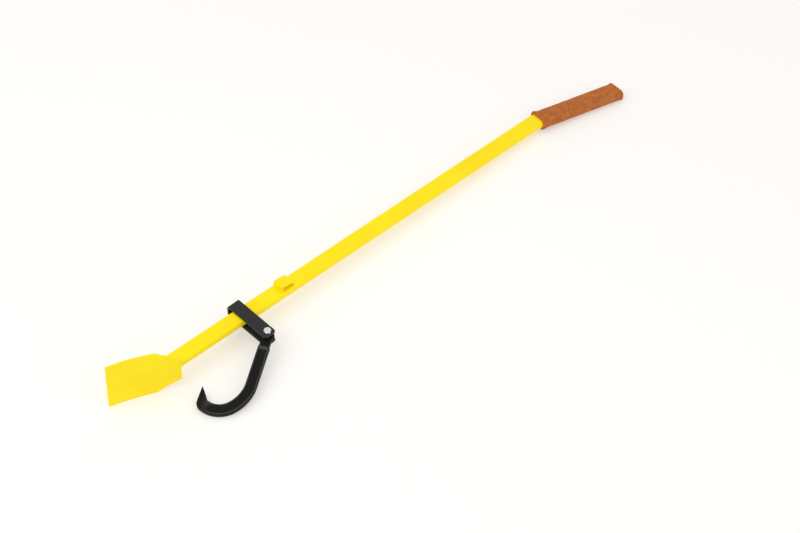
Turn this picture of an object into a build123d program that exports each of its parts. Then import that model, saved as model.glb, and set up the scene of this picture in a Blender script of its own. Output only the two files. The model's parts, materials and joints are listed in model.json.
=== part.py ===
from build123d import *
import math
import os

# A forester's felling lever with a sliding turning hook, in millimetres and degrees.
# It lies on its side, as it is put down on flat ground: both bends of the bar and the swing of
# the hook are in a nearly level plane, and the blade stands on its long edge.
#
# Lever frame: origin on the bar's axis beside the heel of the blade, +X along the bar to the
# handle, +Y to the side that the blade bends to, +Z along the hook's pivot bolt.

# Bar: a rectangular tube with well rounded corners, bent once for the handle.
TUBE_WIDTH = 33.0
TUBE_HEIGHT = 16.5
TUBE_CORNER = 5.0
TUBE_WALL = 2.5
SHAFT_LENGTH = 943.0
HANDLE_ANGLE = 14.3
HANDLE_LENGTH = 193.0
BEND_RADIUS = 60.0

# Blade: a plate that leaves the bar at an angle and then curves back a little.
BLADE_THICKNESS = 5.0
BLADE_HEEL = (-27.7, -23.0)
HEEL_ANGLE = 27.0
HEEL_LENGTH = 46.0
OUTER_LENGTH = 94.0
BOW_RADIUS = 560.0
BEVEL_LENGTH = 38.0
EDGE_THICKNESS = 2.0
HEEL_HALF_WIDTH = 29.0
SHOULDER_HALF_WIDTH = 50.4
EDGE_HALF_WIDTH = 52.5
SHOULDER_ROUNDING = 10.0
WELD_LEG = 3.4

# Tang: a bar inside the end of the tube, held there by a plug weld.
TANG_LENGTH = 170.0
TANG_GAP = 0.25
PLUG_WELD_X = 44.5
PLUG_WELD_RADIUS = 4.0

# Stop loop: a bent strip on the bar's upper face.
LOOP_START = 229.7
LOOP_LENGTH = 30.6
LOOP_WIDTH = 25.0
LOOP_STRIP = 3.0
LOOP_HEIGHT_FRONT = 13.8
LOOP_HEIGHT_BACK = 10.7
LOOP_CORNER = 4.5
LOOP_WELD_LEG = 3.2

# Strap: a flat bar bent round the far side of the tube, bolted across its two legs.
STRAP_X = 141.7
STRAP_WIDTH = 26.0
STRAP_THICKNESS = 4.0
STRAP_GAP = 19.5
STRAP_FAR = 29.5
STRAP_NEAR = -78.3
STRAP_BEND = 7.0
STRAP_LEG_CORNER = 5.0
STRAP_ROCK = 2.4
STRAP_LEAN = -3.0
PIVOT_Y = -69.3

# Pivot bolt M8 with a washer and a self-locking nut.
BOLT_RADIUS = 3.95
BOLT_HOLE_RADIUS = 4.2
HEX_FLATS = 13.0
HEAD_HEIGHT = 5.3
WASHER_RADIUS = 8.0
WASHER_THICKNESS = 1.6
NUT_HEIGHT = 6.5
NUT_COLLAR_HEIGHT = 1.8
NUT_COLLAR_RADIUS = 5.7
NUT_BORE_RADIUS = 4.0
INSERT_RADIUS = 4.9
INSERT_HEIGHT = 1.4
BOLT_TIP = 2.5

# Hook: a forging with an eye, a straight shank, two arcs and a beak, drawn in its own frame
# with the pivot at the origin, +X along the shank and the open side towards -Y.
HOOK_DIRECTION = 211.2
HOOK_HALF_WIDTH = 11.05
HOOK_THICKNESS = 12.0
SHANK_END = 106.4
BACK_RADIUS = 74.3
BACK_TURN = 44.6
BELLY_RADIUS = 43.7
BELLY_INNER_END = 30.0
BELLY_OUTER_END = 38.0
BEAK_TIP = (128.5, -86.8)
EYE_RADIUS = 12.5
EYE_THICKNESS = 10.0
EYE_HOLE_RADIUS = 5.3
NECK_HALF_WIDTH = 9.6
SHOULDER = 24.0
RECESS_DEPTH = 1.6
RECESS_RIM = 3.6
BEAK_START = 158.0
BEAK_SIDE = -62.0
BEAK_TIP_THICKNESS = 1.6
DROOP_DIRECTION = 209.0

# Grip: a sleeve with a flared mouth, closed at its end.
GRIP_START = 4.5
GRIP_WALL = 3.4
GRIP_END_WALL = 4.4
GRIP_CORNER = 8.0
GRIP_CLEARANCE = 0.1
MOUTH_FLARE = 2.6
MOUTH_LENGTH = 9.0
POMMEL_FLARE = 2.3
POMMEL_LENGTH = 12.0

# Plug in the end of the tube, under the sleeve.
PLUG_DEPTH = 16.0
PLUG_HEAD = 2.0

HALF_TUBE = TUBE_HEIGHT / 2
HALF_GAP = STRAP_GAP / 2
STRAP_TOP = HALF_GAP + STRAP_THICKNESS


def direction(angle):
    """Unit vector in the XY plane at an angle from +X."""
    return Vector(math.cos(math.radians(angle)), math.sin(math.radians(angle)))


def tube_section(plane, grow=0.0):
    """The bar's outline on a plane, grown or shrunk all round."""
    radius = TUBE_CORNER + grow
    return plane * RectangleRounded(TUBE_WIDTH + 2 * grow, TUBE_HEIGHT + 2 * grow, radius)


def across(origin, angle):
    """A plane square to the bar, with its x axis across the bar and its y axis up."""
    heading = direction(angle)
    return Plane(origin=origin, x_dir=(-heading.Y, heading.X, 0), z_dir=heading)


# Places along the blade, seen from above.
blade_heading = direction(180 - HEEL_ANGLE)
blade_back_normal = direction(90 - HEEL_ANGLE)
heel_front = Vector(*BLADE_HEEL)
heel_back = heel_front + blade_back_normal * BLADE_THICKNESS
shoulder_front = heel_front + blade_heading * HEEL_LENGTH
bow_centre = shoulder_front - blade_back_normal * BOW_RADIUS


def blade_point(length_past_shoulder, depth):
    """A point on the curved part of the blade, at a depth behind its front face."""
    turned = math.degrees(length_past_shoulder / BOW_RADIUS)
    return bow_centre + direction(90 - HEEL_ANGLE + turned) * (BOW_RADIUS + depth)


def blade_back_curve(end):
    """Wire along the back face, from the heel to a length past the shoulder."""
    straight = Line(heel_back, blade_point(0, BLADE_THICKNESS))
    middle = blade_point(end / 2, BLADE_THICKNESS)
    curved = ThreePointArc(straight @ 1, middle, blade_point(end, BLADE_THICKNESS))
    return straight, curved


def make_blade():
    """The plate: its bent section from above, trimmed to its outline from the side."""
    straight, curved = blade_back_curve(OUTER_LENGTH - BEVEL_LENGTH)
    tip_back = blade_point(OUTER_LENGTH, EDGE_THICKNESS)
    tip_front = blade_point(OUTER_LENGTH, 0)
    bevel = Line(curved @ 1, tip_back)
    edge = Line(tip_back, tip_front)
    front = ThreePointArc(tip_front, blade_point(OUTER_LENGTH / 2, 0), shoulder_front)
    close = Polyline(shoulder_front, heel_front, heel_back)
    section = make_face(straight + curved + bevel + edge + front + close)
    plate = extrude(section, EDGE_HALF_WIDTH + 5, both=True)

    heel_x = heel_front.X
    root_x = heel_x + 8
    shoulder_x = shoulder_front.X
    tip_x = tip_front.X - 9
    dip_x = heel_x + 0.62 * (shoulder_x - heel_x)
    dip_z = HEEL_HALF_WIDTH + 0.50 * (SHOULDER_HALF_WIDTH - HEEL_HALF_WIDTH)
    neck = ThreePointArc(
        (shoulder_x, SHOULDER_HALF_WIDTH), (dip_x, dip_z), (heel_x - 4, HEEL_HALF_WIDTH)
    )
    rest = Polyline(
        (heel_x - 4, HEEL_HALF_WIDTH),
        (root_x, HEEL_HALF_WIDTH),
        (root_x, 0),
        (tip_x, 0),
        (tip_x, EDGE_HALF_WIDTH),
        (shoulder_x, SHOULDER_HALF_WIDTH),
    )
    half = make_face(neck + rest)
    shoulder = half.vertices().sort_by_distance((shoulder_x, SHOULDER_HALF_WIDTH))[0]
    half = fillet(shoulder, SHOULDER_ROUNDING)
    outline = half + mirror(half, Plane.XZ)
    side_view = extrude(Plane.XZ * outline, 120, both=True)
    return (plate & side_view).solid()


def in_front_of_blade():
    """Everything on the front side of the blade's back face, to trim the tube with."""
    straight, curved = blade_back_curve(OUTER_LENGTH)
    far = curved @ 1
    rest = Polyline(far, (-320, far.Y), (-320, -120), (heel_back.X, -120), heel_back)
    region = make_face(straight + curved + rest)
    return extrude(region, 80, both=True)


def make_tube():
    """The bar: hollow, bent for the handle, its end mitred to the back of the blade."""
    start = Vector(-150, 0)
    corner = Vector(SHAFT_LENGTH, 0)
    end = corner + direction(-HANDLE_ANGLE) * HANDLE_LENGTH
    path = FilletPolyline(start, corner, end, radius=BEND_RADIUS)
    plane = across(start, 0)
    wall = tube_section(plane) - tube_section(plane, -TUBE_WALL)
    tube = sweep(wall, path=path) - in_front_of_blade()
    hole = Pos(PLUG_WELD_X, 0, HALF_TUBE) * Cylinder(PLUG_WELD_RADIUS, 2 * TUBE_WALL + 0.4)
    return (tube - hole).solid()


def make_tang():
    """The stiffening bar inside the tube, welded to the back of the blade."""
    plane = across(Vector(-150, 0), 0)
    bar = extrude(tube_section(plane, -TUBE_WALL - TANG_GAP), TANG_LENGTH + 60)
    return (bar - in_front_of_blade()).solid()


def make_plug_weld():
    """The weld that fills a hole in the tube's upper wall, slightly sunk."""
    bottom = HALF_TUBE - TUBE_WALL - TANG_GAP
    height = HALF_TUBE - 0.5 - bottom
    return Pos(PLUG_WELD_X, 0, bottom) * Cylinder(
        PLUG_WELD_RADIUS, height, align=(Align.CENTER, Align.CENTER, Align.MIN)
    )


def make_blade_weld(blade, tube):
    """A bead round the tube where it meets the blade."""
    straight, curved = blade_back_curve(OUTER_LENGTH - BEVEL_LENGTH)
    lower = straight + curved
    band = make_face(
        lower
        + Line(curved @ 1, blade_point(OUTER_LENGTH - BEVEL_LENGTH, BLADE_THICKNESS + WELD_LEG))
        + ThreePointArc(
            blade_point(OUTER_LENGTH - BEVEL_LENGTH, BLADE_THICKNESS + WELD_LEG),
            blade_point((OUTER_LENGTH - BEVEL_LENGTH) / 2, BLADE_THICKNESS + WELD_LEG),
            blade_point(0, BLADE_THICKNESS + WELD_LEG),
        )
        + Polyline(
            blade_point(0, BLADE_THICKNESS + WELD_LEG),
            heel_back + blade_back_normal * WELD_LEG,
            heel_back,
        )
    )
    collar = extrude(band, 40, both=True)
    plane = across(Vector(-150, 0), 0)
    around = extrude(tube_section(plane, WELD_LEG), 200)
    inside = extrude(tube_section(plane), 200)
    return ((collar & around) - inside - blade).solid()


def make_stop_loop():
    """The strip, bent down at both ends on to the bar's upper face."""
    foot = HALF_TUBE
    end = LOOP_START + LOOP_LENGTH
    outer = FilletPolyline(
        (LOOP_START, foot),
        (LOOP_START, foot + LOOP_HEIGHT_FRONT),
        (end, foot + LOOP_HEIGHT_BACK),
        (end, foot),
        radius=LOOP_CORNER,
    )
    inner = FilletPolyline(
        (LOOP_START + LOOP_STRIP, foot),
        (LOOP_START + LOOP_STRIP, foot + LOOP_HEIGHT_FRONT - LOOP_STRIP),
        (end - LOOP_STRIP, foot + LOOP_HEIGHT_BACK - LOOP_STRIP),
        (end - LOOP_STRIP, foot),
        radius=LOOP_CORNER - LOOP_STRIP,
    )
    feet = Line(outer @ 0, inner @ 0) + Line(outer @ 1, inner @ 1)
    strip = make_face(outer + inner + feet)
    loop = extrude(Plane.XZ * strip, LOOP_WIDTH / 2, both=True).solid()
    corners = loop.edges().filter_by(Axis.Z).group_by(Axis.Y)
    return fillet(corners[0] + corners[-1], 0.6)


def make_loop_welds():
    """A bead along the outer foot of each leg of the loop."""
    beads = []
    for foot_x, side in ((LOOP_START, -1), (LOOP_START + LOOP_LENGTH, 1)):
        corner = (foot_x, HALF_TUBE)
        along = (foot_x + side * LOOP_WELD_LEG, HALF_TUBE)
        up = (foot_x, HALF_TUBE + LOOP_WELD_LEG)
        bulge = (foot_x + side * 0.62 * LOOP_WELD_LEG, HALF_TUBE + 0.62 * LOOP_WELD_LEG)
        bead = make_face(Line(corner, along) + ThreePointArc(along, bulge, up) + Line(up, corner))
        beads.append(extrude(Plane.XZ * bead, TUBE_WIDTH / 2 - TUBE_CORNER, both=True).solid())
    return Compound(beads)


def handle_plane(distance):
    """A plane square to the handle at a distance past its bend."""
    corner = Vector(SHAFT_LENGTH, 0)
    return across(corner + direction(-HANDLE_ANGLE) * distance, -HANDLE_ANGLE)


def grip_section(distance, flare=0.0):
    """The sleeve's outline at a distance past the bend."""
    grow = GRIP_WALL + flare
    width = TUBE_WIDTH + 2 * grow
    height = TUBE_HEIGHT + 2 * grow
    return handle_plane(distance) * RectangleRounded(width, height, GRIP_CORNER + flare)


def make_grip():
    """The sleeve, with a flared mouth and a slightly flared closed end."""
    end = HANDLE_LENGTH + PLUG_HEAD + GRIP_END_WALL
    mouth = loft([grip_section(GRIP_START, MOUTH_FLARE), grip_section(GRIP_START + MOUTH_LENGTH)])
    body_length = end - POMMEL_LENGTH - GRIP_START - MOUTH_LENGTH
    body = extrude(grip_section(GRIP_START + MOUTH_LENGTH), body_length)
    pommel = loft([grip_section(end - POMMEL_LENGTH), grip_section(end, POMMEL_FLARE)])
    start = Vector(SHAFT_LENGTH - 60, 0)
    corner = Vector(SHAFT_LENGTH, 0)
    inner_end = corner + direction(-HANDLE_ANGLE) * (HANDLE_LENGTH + PLUG_HEAD + 0.1)
    bore_path = FilletPolyline(start, corner, inner_end, radius=BEND_RADIUS)
    cavity = sweep(tube_section(across(start, 0), GRIP_CLEARANCE), path=bore_path)
    grip = mouth + body + pommel
    ends = grip.faces().sort_by(Axis.X)[-1].edges()
    grip = fillet(ends, 3)
    return (grip - cavity).solid()


def make_end_plug():
    """The plastic plug that closes the tube under the sleeve."""
    stem = extrude(tube_section(handle_plane(HANDLE_LENGTH - PLUG_DEPTH), -TUBE_WALL - 0.1), PLUG_DEPTH)
    head = extrude(tube_section(handle_plane(HANDLE_LENGTH)), PLUG_HEAD)
    return (stem + head).solid()


def make_strap():
    """The flat bar, bent square round the tube, drilled through both legs."""
    far, near = STRAP_FAR, STRAP_NEAR
    outer = FilletPolyline(
        (near, STRAP_TOP), (far, STRAP_TOP), (far, -STRAP_TOP), (near, -STRAP_TOP), radius=STRAP_BEND
    )
    inner = FilletPolyline(
        (near, HALF_GAP),
        (far - STRAP_THICKNESS, HALF_GAP),
        (far - STRAP_THICKNESS, -HALF_GAP),
        (near, -HALF_GAP),
        radius=STRAP_BEND - STRAP_THICKNESS,
    )
    ends = Line(outer @ 0, inner @ 0) + Line(outer @ 1, inner @ 1)
    section = make_face(outer + inner + ends)
    strap = extrude(Plane.YZ * section, STRAP_WIDTH / 2, both=True).solid()
    leg_ends = [e for e in strap.edges().filter_by(Axis.Z) if e.center().Y < near + 1]
    strap = fillet(leg_ends, STRAP_LEG_CORNER)
    hole = Pos(0, PIVOT_Y, 0) * Cylinder(BOLT_HOLE_RADIUS, 60)
    return (strap - hole).solid()


def hexagon_block(height, z, top_chamfer):
    """A hexagonal block on the bolt's axis, its corners turned off at one or both ends."""
    corner_radius = HEX_FLATS / 2 / math.cos(math.pi / 6)
    block = extrude(RegularPolygon(corner_radius, 6), height)
    ball = Cylinder(corner_radius + 0.01, height, align=(Align.CENTER, Align.CENTER, Align.MIN))
    ball = chamfer(ball.edges().group_by(Axis.Z)[-1 if top_chamfer else 0], 0.7, 1.25)
    return Pos(0, PIVOT_Y, z) * (block & ball)


def make_bolt():
    """Hexagon head on the upper leg, plain shank down through both legs and the nut."""
    head = hexagon_block(HEAD_HEIGHT, STRAP_TOP, True)
    length = 2 * STRAP_TOP + WASHER_THICKNESS + NUT_HEIGHT + NUT_COLLAR_HEIGHT + BOLT_TIP
    shank = Cylinder(BOLT_RADIUS, length, align=(Align.CENTER, Align.CENTER, Align.MAX))
    shank = chamfer(shank.edges().group_by(Axis.Z)[0], 0.9)
    return (head + Pos(0, PIVOT_Y, STRAP_TOP) * shank).solid()


def ring(outer, inner, height, top):
    """A flat ring on the bolt's axis, hanging from a height."""
    down = (Align.CENTER, Align.CENTER, Align.MAX)
    body = Cylinder(outer, height, align=down) - Cylinder(inner, height, align=down)
    return Pos(0, PIVOT_Y, top) * body


def make_nut():
    """Hexagon nut with the thin collar that holds its nylon ring."""
    top = -STRAP_TOP - WASHER_THICKNESS
    block = hexagon_block(NUT_HEIGHT, top - NUT_HEIGHT, False)
    collar = ring(NUT_COLLAR_RADIUS, INSERT_RADIUS, NUT_COLLAR_HEIGHT, top - NUT_HEIGHT)
    bore = Pos(0, PIVOT_Y, top) * Cylinder(NUT_BORE_RADIUS, 40)
    return (block - bore + collar).solid()


def arc_point(centre, radius, angle):
    """A point on a circle in the hook's frame; the open side is towards -Y."""
    return (
        centre[0] + radius * math.cos(math.radians(angle)),
        -(centre[1] + radius * math.sin(math.radians(angle))),
    )


# Centres of the hook's two arcs, in its own frame with the open side counted positive.
back_centre = (SHANK_END, BACK_RADIUS)
back_end = BACK_TURN - 90
belly_centre = (
    SHANK_END + (BACK_RADIUS - BELLY_RADIUS) * math.sin(math.radians(BACK_TURN)),
    BACK_RADIUS - (BACK_RADIUS - BELLY_RADIUS) * math.cos(math.radians(BACK_TURN)),
)


def hook_outline(margin, start):
    """The hook's outline from a place on the shank to the beak, set in by a margin."""
    half = HOOK_HALF_WIDTH - margin
    sides = []
    for offset, belly_end in ((-half, BELLY_INNER_END), (half, BELLY_OUTER_END)):
        back = BACK_RADIUS + offset
        belly = BELLY_RADIUS + offset
        first = (start, offset)
        shank_end = arc_point(back_centre, back, -90)
        middle = arc_point(back_centre, back, (back_end - 90) / 2)
        join = arc_point(back_centre, back, back_end)
        low = arc_point(belly_centre, belly, (back_end + belly_end) / 2)
        last = arc_point(belly_centre, belly, belly_end)
        side = Line((first[0], shank_end[1]), shank_end)
        side += ThreePointArc(shank_end, middle, join)
        side += ThreePointArc(join, low, last)
        sides.append((side, (first[0], shank_end[1]), last))
    return sides


def hook_plate(margin, start, tip, thickness):
    """A flat blank of the hook's curved part, centred on its mid-plane."""
    (inner, inner_start, inner_end), (outer, outer_start, outer_end) = hook_outline(margin, start)
    beak = Polyline(inner_end, tip, outer_end)
    root = Line(inner_start, outer_start)
    return extrude(make_face(inner + outer + beak + root), thickness / 2, both=True)


def beak_wedges():
    """Two wedges that thin the beak towards its point, above and below."""
    half = HOOK_THICKNESS / 2
    thin = BEAK_TIP_THICKNESS / 2
    wedges = []
    for side in (1, -1):
        profile = Polyline(
            (BEAK_START, side * half),
            (BEAK_TIP[0], side * thin),
            (BEAK_TIP[0] - 20, side * thin),
            (BEAK_TIP[0] - 20, side * (half + 5)),
            (BEAK_START, side * (half + 5)),
            (BEAK_START, side * half),
        )
        wedges.append(Pos(0, BEAK_SIDE, 0) * extrude(Plane.XZ * make_face(profile), 60))
    return wedges


def make_hook():
    """The forging: eye, neck, fluted shank and belly, and a beak drawn to a point."""
    blank = hook_plate(0, SHOULDER, BEAK_TIP, HOOK_THICKNESS).solid()
    corner = [e for e in blank.edges().filter_by(Axis.Z) if e.center().X > 165]
    blank = fillet(corner, 7)
    rims = blank.faces().filter_by(Axis.Z).edges()
    long_rims = [e for e in rims if e.center().X > SHOULDER + 1 and e.center().Y > -70]
    blank = chamfer(long_rims, 0.8)
    beak_root = arc_point(belly_centre, BELLY_RADIUS - HOOK_HALF_WIDTH + RECESS_RIM, BELLY_INNER_END)
    flute_tip = (beak_root[0] - 6, beak_root[1] - 9)
    flute = hook_plate(RECESS_RIM, SHOULDER + 7, flute_tip, RECESS_DEPTH * 2)
    for side in (1, -1):
        blank -= Pos(0, 0, side * HOOK_THICKNESS / 2) * flute
    for wedge in beak_wedges():
        blank -= wedge
    neck = Pos(SHOULDER / 2, 0, 0) * Box(SHOULDER + 0.2, 2 * NECK_HALF_WIDTH, EYE_THICKNESS)
    eye = Cylinder(EYE_RADIUS, EYE_THICKNESS)
    eye = chamfer(eye.edges().filter_by(GeomType.CIRCLE), 1)
    hook = blank + neck + eye - Cylinder(EYE_HOLE_RADIUS, 40)
    return hook.solid()


# Places of the three moving bodies on level ground.
blade_drop = SHOULDER_HALF_WIDTH
grip_drop = HALF_TUBE + GRIP_WALL + POMMEL_FLARE
grip_end = HANDLE_LENGTH + PLUG_HEAD + GRIP_END_WALL
grip_end_x = SHAFT_LENGTH + grip_end * math.cos(math.radians(HANDLE_ANGLE))
bar_pitch = math.degrees(math.asin((blade_drop - grip_drop) / (grip_end_x - shoulder_front.X)))

blade = make_blade()
tube = make_tube()
lever_parts = {
    "shaft_tube": tube,
    "blade": blade,
    "blade_tang": make_tang(),
    "tang_plug_weld": make_plug_weld(),
    "blade_weld": make_blade_weld(blade, tube),
    "stop_loop": make_stop_loop(),
    "stop_loop_welds": make_loop_welds(),
    "grip_sleeve": make_grip(),
    "tube_end_plug": make_end_plug(),
}
insert_top = -STRAP_TOP - WASHER_THICKNESS - NUT_HEIGHT - 0.2
strap_parts = {
    "hook_strap": make_strap(),
    "pivot_bolt": make_bolt(),
    "pivot_washer": ring(WASHER_RADIUS, BOLT_HOLE_RADIUS, WASHER_THICKNESS, -STRAP_TOP),
    "lock_nut": make_nut(),
    "lock_nut_ring": ring(INSERT_RADIUS - 0.05, NUT_BORE_RADIUS, INSERT_HEIGHT, insert_top),
}
hook_parts = {"turning_hook": make_hook()}

pitched = Rotation(0, bar_pitch, 0)
floor = Compound([pitched * lever_parts[name] for name in ("blade", "grip_sleeve")])
lever_place = Pos(0, 0, -floor.bounding_box().min.Z) * pitched
strap_place = lever_place * Pos(STRAP_X, 0, 0) * Rotation(STRAP_ROCK, 0, 0) * Rotation(0, STRAP_LEAN, 0)


def hook_place_at(droop):
    """The hook's place with its loose eye tipped on the bolt by a droop angle."""
    tipped = Rotation(0, 0, DROOP_DIRECTION) * Rotation(0, droop, 0)
    return strap_place * Pos(0, PIVOT_Y, 0) * tipped * Rotation(0, 0, HOOK_DIRECTION - DROOP_DIRECTION)


def belly_height(droop):
    """Height of the lowest point of the hook's round back above the ground."""
    place = hook_place_at(droop)
    centre = (place * Pos(belly_centre[0], -belly_centre[1], -HOOK_THICKNESS / 2)).position
    up = (place * Pos(0, 0, 1)).position - place.position
    radius = BELLY_RADIUS + HOOK_HALF_WIDTH - 0.8
    return centre.Z - radius * math.sqrt(1 - up.Z ** 2)


# The hook's own weight tips it until its back touches the ground.
low, high = 0.0, 20.0
for _ in range(30):
    droop = (low + high) / 2
    if belly_height(droop) > 0.05:
        low = droop
    else:
        high = droop
hook_place = hook_place_at(droop)

placed = {}
for parts, place in ((lever_parts, lever_place), (strap_parts, strap_place), (hook_parts, hook_place)):
    for name, shape in parts.items():
        placed[name] = place * shape

# The origin goes to the middle of the footprint, at ground level.
whole = Compound(list(placed.values()))
middle = whole.bounding_box().center()
shift = Pos(-middle.X, -middle.Y, 0)

os.makedirs("parts", exist_ok=True)
for name, shape in placed.items():
    export_step(shift * shape, f"parts/{name}.step")


def report(label, place):
    """Print a place's position and axes, for stating joints and mounts."""
    origin = (shift * place).position
    axes = []
    for step in ((1, 0, 0), (0, 1, 0), (0, 0, 1)):
        tip = (shift * place * Pos(*step)).position
        axes.append(tuple(round(v, 6) for v in (tip - origin)))
    print(label, tuple(round(v, 3) for v in origin), axes)


print("bar pitch", round(bar_pitch, 3), "hook droop", round(droop, 3))
report("lever", lever_place)
report("pivot", strap_place * Pos(0, PIVOT_Y, 0))
report("hook", hook_place)
report("strap", strap_place)
report("shaft face", lever_place * Pos(500, 0, HALF_TUBE))
report("loop tunnel", lever_place * Pos(LOOP_START + LOOP_LENGTH / 2, 0, HALF_TUBE + 5))
report("hook throat", hook_place * Pos(belly_centre[0] - 15, -belly_centre[1] + 8, 0))
heel_face = Plane(origin=heel_front + blade_heading * 22, x_dir=(0, 0, 1), z_dir=-blade_back_normal)
report("heel face", lever_place * heel_face.location)
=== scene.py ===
import json
import math
import re

import bmesh
import bpy
from mathutils import Matrix, Vector, noise


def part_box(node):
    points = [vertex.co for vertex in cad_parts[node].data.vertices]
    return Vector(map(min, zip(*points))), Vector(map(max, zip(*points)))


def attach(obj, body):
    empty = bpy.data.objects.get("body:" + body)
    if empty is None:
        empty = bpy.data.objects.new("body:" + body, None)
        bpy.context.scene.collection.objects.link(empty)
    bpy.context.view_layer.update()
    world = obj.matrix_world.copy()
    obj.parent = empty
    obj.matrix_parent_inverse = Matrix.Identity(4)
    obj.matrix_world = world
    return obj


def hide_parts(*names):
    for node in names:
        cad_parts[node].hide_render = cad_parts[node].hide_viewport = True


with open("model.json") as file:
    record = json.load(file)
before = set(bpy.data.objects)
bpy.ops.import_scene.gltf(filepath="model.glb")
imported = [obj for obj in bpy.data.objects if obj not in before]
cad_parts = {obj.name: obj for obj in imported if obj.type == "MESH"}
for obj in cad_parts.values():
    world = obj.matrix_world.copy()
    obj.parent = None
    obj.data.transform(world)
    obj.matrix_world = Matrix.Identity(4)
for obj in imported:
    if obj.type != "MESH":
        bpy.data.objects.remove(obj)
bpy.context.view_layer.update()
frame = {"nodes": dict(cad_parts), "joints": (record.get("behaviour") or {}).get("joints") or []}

# ---------------------------------------------------------------------------------------
# The bar: a rectangular steel tube, bent once for the handle and powder coated in yellow.
# Its frame, which every piece on the lever is placed in, has X along the bar towards the
# handle, Y to the side the blade bends to, and Z up through the wide upper face.
MM = 0.001

bar_slide = next(j for j in frame["joints"] if j["name"] == "strap_slide")
bar_along = Vector(bar_slide["axis"]).normalized()
bar_across = Vector((0, 1, 0))
bar_up = bar_along.cross(bar_across).normalized()


def place_frame(origin, along, across, up):
    """The matrix of a frame with these three directions at an origin."""
    turn = Matrix((along, across, up)).transposed().to_4x4()
    return Matrix.Translation(origin) @ turn


PLUG_WELD_X = 44.5 * MM
PLUG_WELD_Z = 6.7 * MM
plug_low, plug_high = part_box("tang_plug_weld")
bar_origin = (plug_low + plug_high) / 2 - bar_along * PLUG_WELD_X - bar_up * PLUG_WELD_Z
bar_frame = place_frame(bar_origin, bar_along, bar_across, bar_up)


def colour(hex_code):
    """An sRGB hex value as the linear RGBA that shaders take."""
    channels = [int(hex_code[i:i + 2], 16) / 255 for i in (1, 3, 5)]
    linear = [c / 12.92 if c <= 0.04045 else ((c + 0.055) / 1.055) ** 2.4 for c in channels]
    return (*linear, 1.0)


def node(tree, kind, settings=None, stops=(), **inputs):
    """Add a node with its settings, colour stops, and inputs set to values or linked.

    An input is called by its name, or by "i" and its number where names repeat.
    """
    made = tree.nodes.new(kind)
    for name, value in (settings or {}).items():
        setattr(made, name, value)
    if stops:
        band = made.color_ramp.elements
        while len(band) < len(stops):
            band.new(0.5)
        for element, (position, hex_code) in zip(band, stops):
            element.position = position
            element.color = colour(hex_code)
    for name, value in inputs.items():
        numbered = re.fullmatch(r"i(\d+)", name)
        socket = made.inputs[int(numbered[1]) if numbered else name.replace("_", " ")]
        if isinstance(value, bpy.types.NodeSocket):
            tree.links.new(value, socket)
        else:
            socket.default_value = value
    return made


def finish_material(name, **constants):
    """A material with a Principled shader; constants go straight on the shader's sockets."""
    material = bpy.data.materials.new(name)
    material.use_nodes = True
    tree = material.node_tree
    shader = tree.nodes["Principled BSDF"]
    for socket, value in constants.items():
        shader.inputs[socket.replace("_", " ")].default_value = value
    place = node(tree, "ShaderNodeTexCoord").outputs["Object"]
    return material, tree, shader, place


def per_metre(size_mm):
    """The texture scale that repeats about once in a real size in millimetres."""
    return 1000.0 / size_mm


# Yellow polyester powder coat on steel, sprayed and baked: an even, fairly glossy film with
# the faint orange peel of its flow, a little duller where the film pooled.
powder_yellow, tree, shader, place = finish_material(
    "powder_coat_yellow", IOR=1.5, Specular_IOR_Level=0.22
)
pooling = node(tree, "ShaderNodeTexNoise", Vector=place, Scale=per_metre(60), Detail=3.0)
tone = node(
    tree, "ShaderNodeValToRGB", stops=[(0.3, "#FFE000"), (0.7, "#FFEA00")],
    Fac=pooling.outputs["Fac"],
).outputs["Color"]
peel = node(tree, "ShaderNodeTexNoise", Vector=place, Scale=per_metre(2.6), Detail=2.0)
sheen = node(tree, "ShaderNodeMapRange", i0=pooling.outputs["Fac"], i1=0.3, i2=0.7, i3=0.30, i4=0.42)
relief = node(tree, "ShaderNodeBump", Height=peel.outputs["Fac"], Strength=0.05, Distance=0.4 * MM)
tree.links.new(tone, shader.inputs["Base Color"])
tree.links.new(sheen.outputs[0], shader.inputs["Roughness"])
tree.links.new(relief.outputs["Normal"], shader.inputs["Normal"])


def coat_cad(node_name, material):
    """Give a CAD node its finish."""
    piece = frame["nodes"][node_name]
    if not piece.data.materials:
        piece.data.materials.append(material)
    for index in range(len(piece.data.materials)):
        piece.data.materials[index] = material


coat_cad("shaft_tube", powder_yellow)

# ---------------------------------------------------------------------------------------
# The blade: 5 mm plate, cut to its outline, bent a little and ground to a chisel edge from
# behind, then powder coated. Its edges are just broken, so that the coat rounds them.
BLADE_HEEL = Vector((-27.7, -23.0)) * MM
HEEL_ANGLE = math.radians(27.0)
HEEL_LENGTH = 46.0 * MM
OUTER_LENGTH = 94.0 * MM
BOW_RADIUS = 560.0 * MM
BLADE_THICKNESS = 5.0 * MM
GRIND_LENGTH = 38.0 * MM
EDGE_THICKNESS = 2.0 * MM
HEEL_HALF_WIDTH = 29.0 * MM
HEEL_CORNER = 3.0 * MM
SHOULDER_HALF_WIDTH = 50.4 * MM
EDGE_HALF_WIDTH = 52.5 * MM
SHOULDER_REACH = 5.0 * MM
blade_length = HEEL_LENGTH + OUTER_LENGTH


def make_piece(name, mesh_maker, frame_matrix, material, smooth_angle=35.0):
    """Turn a bmesh built in a frame into a finished object in the row frame."""
    mesh = bpy.data.meshes.new(name)
    mesh_maker.transform(frame_matrix)
    bmesh.ops.recalc_face_normals(mesh_maker, faces=mesh_maker.faces)
    for face in mesh_maker.faces:
        face.smooth = True
    for edge in mesh_maker.edges:
        edge.smooth = len(edge.link_faces) == 2 and edge.calc_face_angle(0.0) < math.radians(smooth_angle)
    mesh_maker.to_mesh(mesh)
    mesh_maker.free()
    piece = bpy.data.objects.new(name, mesh)
    bpy.context.scene.collection.objects.link(piece)
    mesh.materials.append(material)
    return piece


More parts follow.
